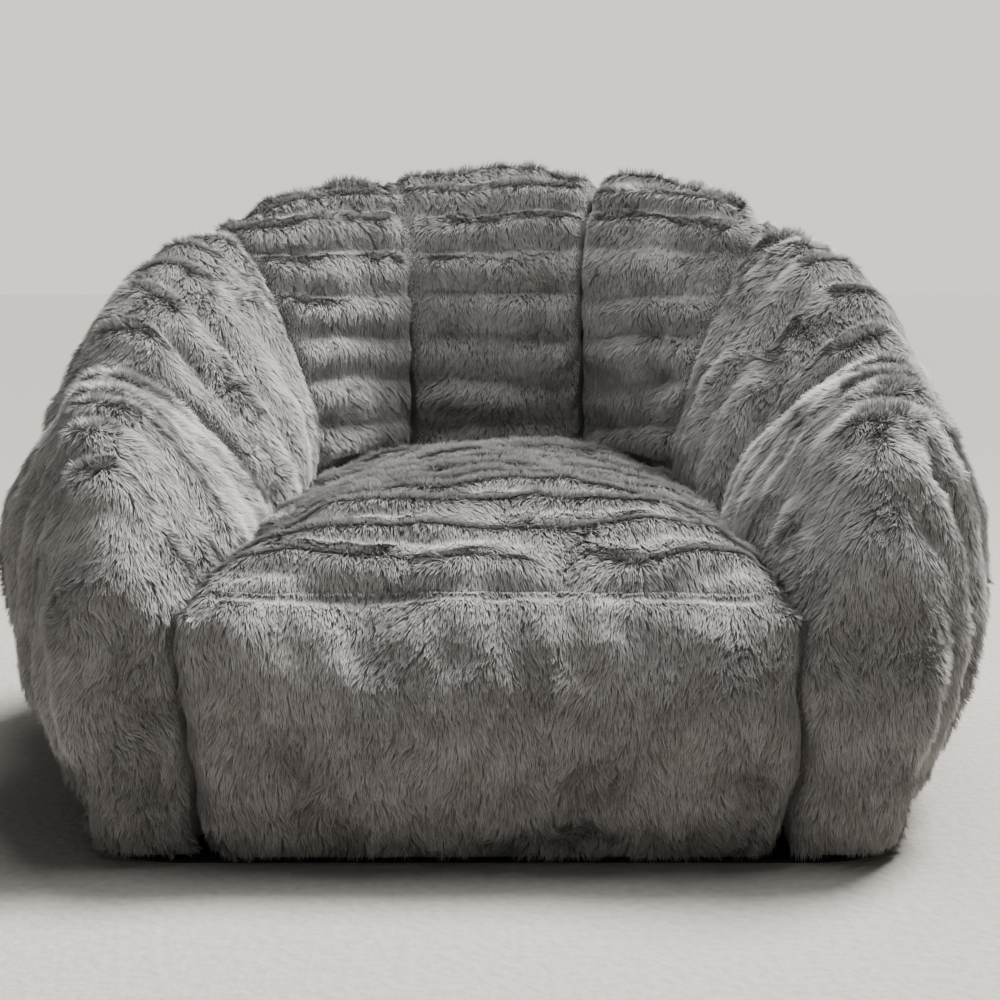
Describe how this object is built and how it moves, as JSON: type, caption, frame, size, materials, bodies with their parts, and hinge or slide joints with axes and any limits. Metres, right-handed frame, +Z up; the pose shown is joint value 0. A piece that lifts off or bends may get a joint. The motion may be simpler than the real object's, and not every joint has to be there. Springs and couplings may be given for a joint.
{
  "type": "bean bag chair",
  "caption": "Low round bean bag lounge chair in ribbed plush: puffed lobes form the arms and back around a domed seat, with a zipped rear hem and a flat base cloth.",
  "frame": {"origin": "on the floor under the middle of the chair's box", "axes": "+X along the width, towards the sitter's left arm as seen from the front on the right; +Y towards the back; +Z up"},
  "size_m": [1.1746, 1.05, 0.715],
  "materials": {
    "plush": "long grey plush pile in soft ribs",
    "liner": "plain woven lining",
    "foam": "shredded polyurethane foam",
    "divider": "plain woven lining",
    "base_cloth": "coarse black non-woven cloth",
    "zip_tape": "woven zip tape",
    "zip_teeth": "nylon coil",
    "zip_metal": "dark nickel"
  },
  "bodies": {
    "chair": {"base_cloth": "base_cloth", "cover_arm_left": "plush", "cover_arm_right": "plush", "cover_back_centre": "plush", "cover_back_left": "plush", "cover_back_right": "plush", "cover_shoulder_left": "plush", "cover_shoulder_right": "plush", "divider_arm_left": "divider", "divider_arm_right": "divider", "divider_back_left": "divider", "divider_back_right": "divider", "divider_shoulder_left": "divider", "divider_shoulder_right": "divider", "fill_arm_left": "foam", "fill_arm_right": "foam", "fill_back_centre": "foam", "fill_back_left": "foam", "fill_back_right": "foam", "fill_seat": "foam", "fill_shoulder_left": "foam", "fill_shoulder_right": "foam", "liner_arm_left": "liner", "liner_arm_right": "liner", "liner_back_centre": "liner", "liner_back_left": "liner", "liner_back_right": "liner", "liner_seat": "liner", "liner_shoulder_left": "liner", "liner_shoulder_right": "liner", "seat_front_cover": "plush", "seat_top_cover": "plush", "zip_stop_left": "zip_metal", "zip_stop_right": "zip_metal", "zip_tape_lower": "zip_tape", "zip_tape_upper": "zip_tape", "zip_teeth_lower": "zip_teeth", "zip_teeth_upper": "zip_teeth"},
    "zip_slider": {"zip_slider": "zip_metal"},
    "zip_pull": {"zip_pull": "zip_metal"}
  },
  "joints": [
    {"name": "zip_travel", "type": "hinge", "parent": "chair", "child": "zip_slider", "pos_m": [0, -0.062, 0.0605], "axis": [0, 0, 1], "range_deg": [0, 64]},
    {"name": "zip_pull_swing", "type": "hinge", "parent": "zip_slider", "child": "zip_pull", "pos_m": [0.26562, 0.36308, 0.05774], "axis": [0.318, 0.5088, 0.8], "range_deg": [-80, 80]}
  ]
}
